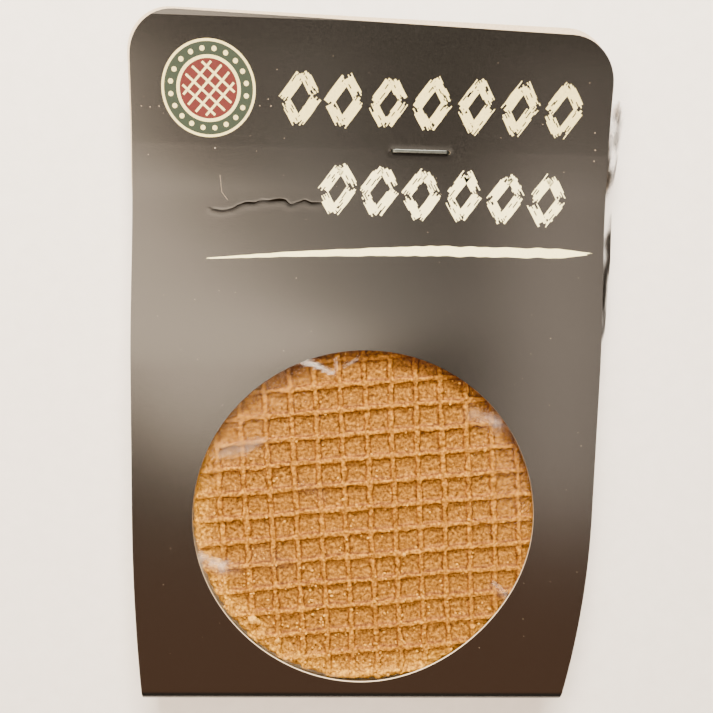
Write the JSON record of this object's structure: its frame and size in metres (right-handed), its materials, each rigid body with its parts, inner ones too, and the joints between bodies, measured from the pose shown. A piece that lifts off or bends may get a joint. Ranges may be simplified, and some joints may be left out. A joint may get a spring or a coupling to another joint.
{
  "type": "packaged stroopwafel",
  "caption": "Round syrup waffle in a clear film bag, inside a folded and stapled dark card sleeve with a round window.",
  "frame": {"origin": "on the underside of the back panel, below the centre of the sleeve's round window", "axes": "+X to the right seen from the front, +Y towards the stapled top end, +Z out of the front panel"},
  "size_m": [0.1097, 0.1553, 0.0113],
  "materials": {
    "card": "dark brown print with a satin varnish, cream edges",
    "film": "clear glossy film",
    "wafer": "golden brown, crumbly",
    "syrup": "dark caramel, sticky",
    "staple_wire": "galvanised wire"
  },
  "bodies": {
    "root": {"card_sleeve": "card", "film_bag": "film", "wafer_front": "wafer", "syrup_layer": "syrup", "wafer_back": "wafer", "staple": "staple_wire"}
  },
  "joints": []
}
